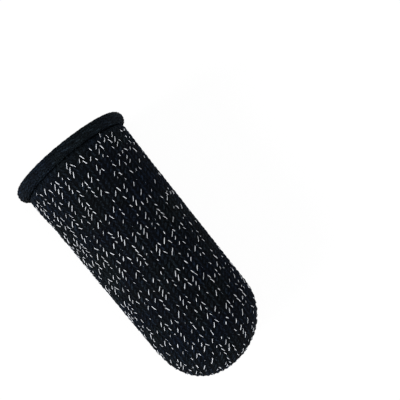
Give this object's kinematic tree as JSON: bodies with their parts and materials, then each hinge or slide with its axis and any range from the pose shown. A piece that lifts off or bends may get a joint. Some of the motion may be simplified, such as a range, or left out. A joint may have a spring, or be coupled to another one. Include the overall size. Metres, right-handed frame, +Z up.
{
  "type": "gaming finger sleeve",
  "caption": "Soft knitted finger sleeve for touchscreen play: dark close-knit tube flecked with silver yarn, rounded closed tip and outward-rolled open edge, lying on its side.",
  "frame": {"origin": "on the table under the middle of the sleeve's bounding box", "axes": "+X along the sleeve from the rolled mouth to the closed tip, +Z up from the table, +Y across the sleeve"},
  "size_m": [0.045, 0.022, 0.0168],
  "materials": {
    "dark_knit": "soft matt stretch knit",
    "silver_yarn": "silver-coated yarn, softly shining"
  },
  "bodies": {
    "root": {"knit_sleeve": "dark_knit", "silver_yarn": "silver_yarn"}
  },
  "joints": []
}
